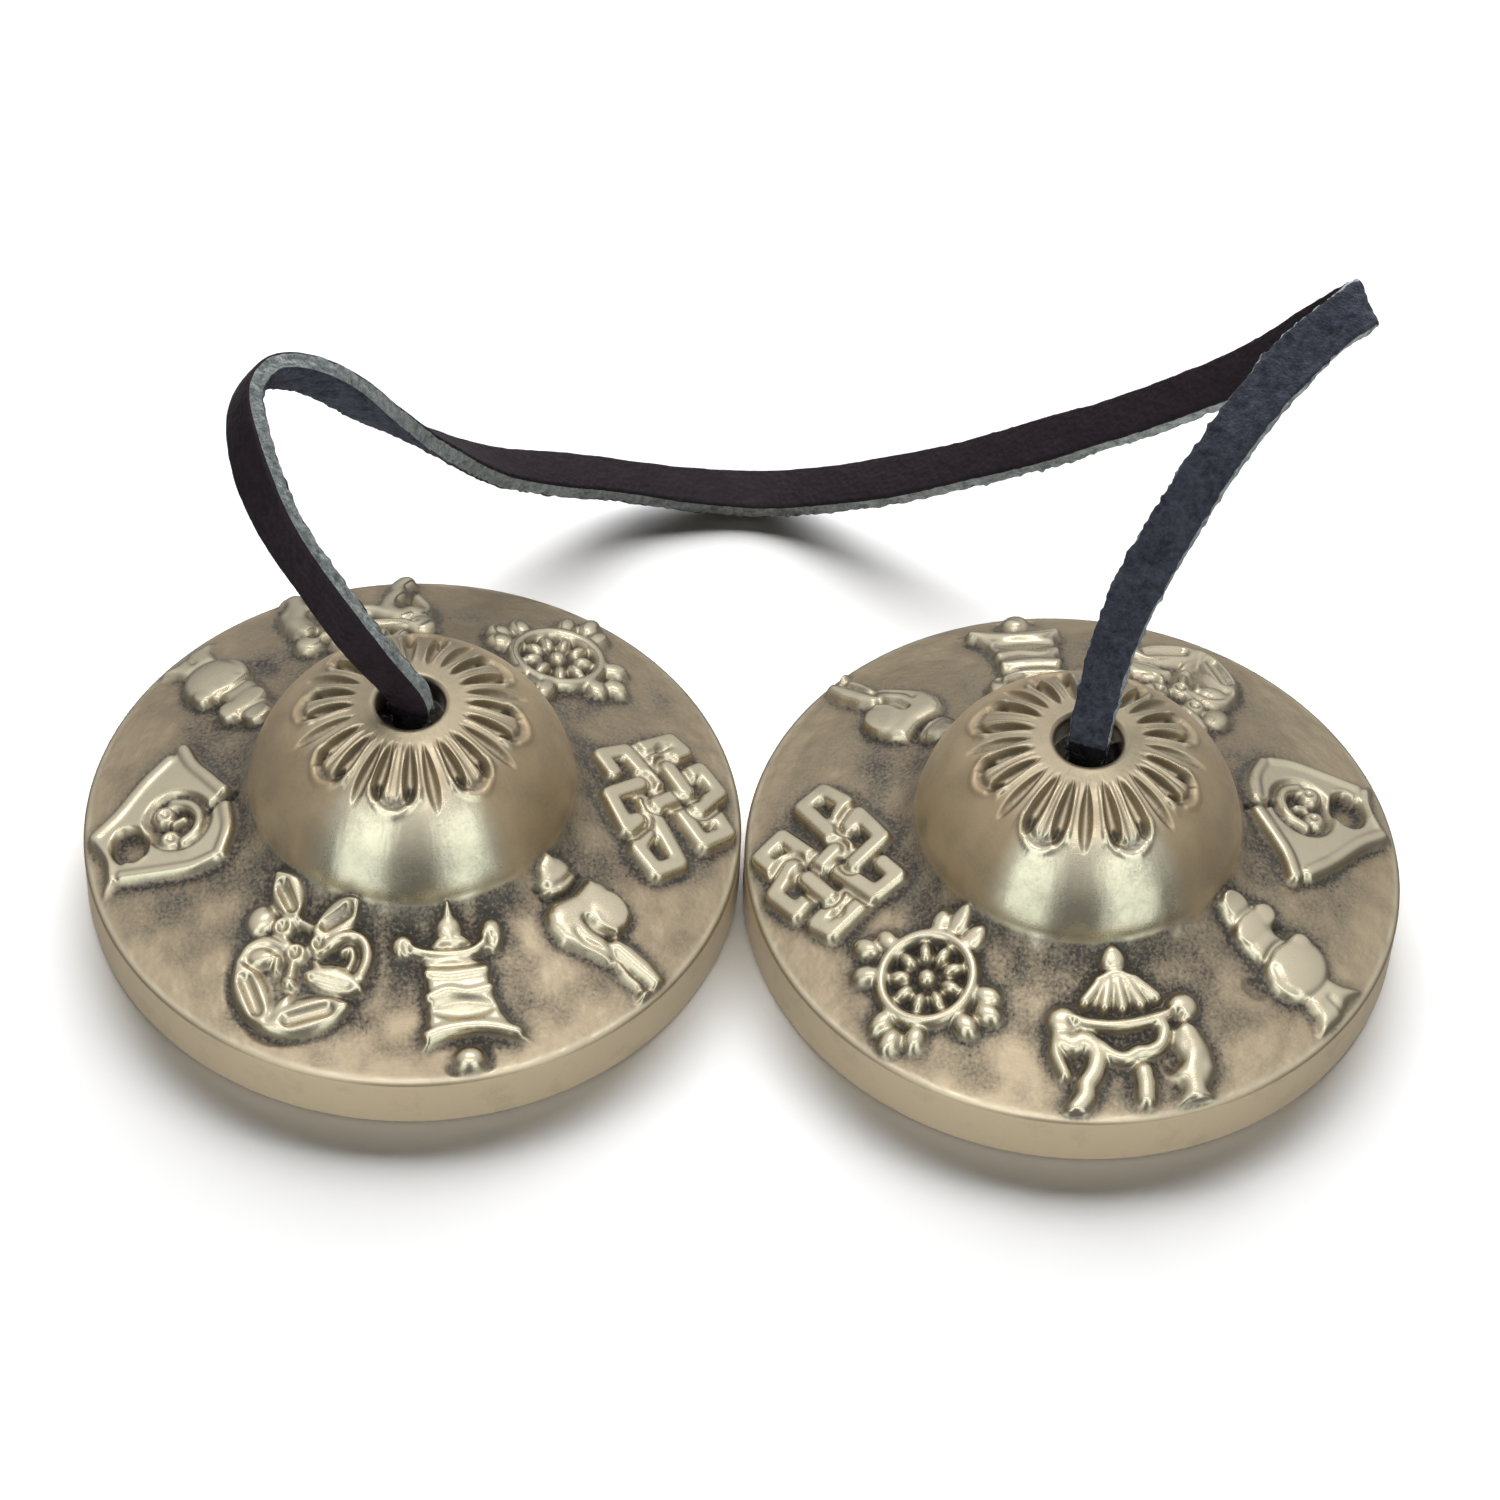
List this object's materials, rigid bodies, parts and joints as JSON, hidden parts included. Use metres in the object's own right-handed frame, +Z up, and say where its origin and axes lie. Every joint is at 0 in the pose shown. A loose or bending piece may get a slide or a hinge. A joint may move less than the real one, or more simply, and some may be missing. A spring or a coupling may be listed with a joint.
{
  "type": "strap-joined hand cymbals",
  "caption": "Pair of thick cast bronze hand cymbals with hollow bosses, joined by a leather thong knotted inside each boss, for striking rim to rim.",
  "frame": {"origin": "on the surface the cymbals lie on, midway between their centres", "axes": "+X from the left cymbal's centre to the right cymbal's centre, +Y back towards the side the thong falls to, +Z up"},
  "size_m": [0.1404, 0.0937, 0.0548],
  "materials": {
    "bronze": "satin cast bronze with dark patina in the recesses",
    "leather": "dark grain face, grey suede back, pale cut edges"
  },
  "bodies": {
    "strap": {"strap": "leather"},
    "left_knot": {"left_knot": "leather"},
    "left_cymbal": {"left_cymbal": "bronze"},
    "right_knot": {"right_knot": "leather"},
    "right_cymbal": {"right_cymbal": "bronze"}
  },
  "joints": [
    {"name": "left_swing", "type": "hinge", "parent": "strap", "child": "left_knot", "pos_m": [-0.0352, 0, 0.0243], "axis": [1, 0, 0], "range_deg": [-20, 12], "stiffness_Nm_per_rad": 0.05},
    {"name": "left_spin", "type": "hinge", "parent": "left_knot", "child": "left_cymbal", "pos_m": [-0.0352, 0, 0.0243], "axis": [0, 0, 1], "continuous": true},
    {"name": "right_swing", "type": "hinge", "parent": "strap", "child": "right_knot", "pos_m": [0.0352, 0, 0.0243], "axis": [1, 0, 0], "range_deg": [-20, 16], "stiffness_Nm_per_rad": 0.05},
    {"name": "right_spin", "type": "hinge", "parent": "right_knot", "child": "right_cymbal", "pos_m": [0.0352, 0, 0.0243], "axis": [0, 0, 1], "continuous": true}
  ]
}
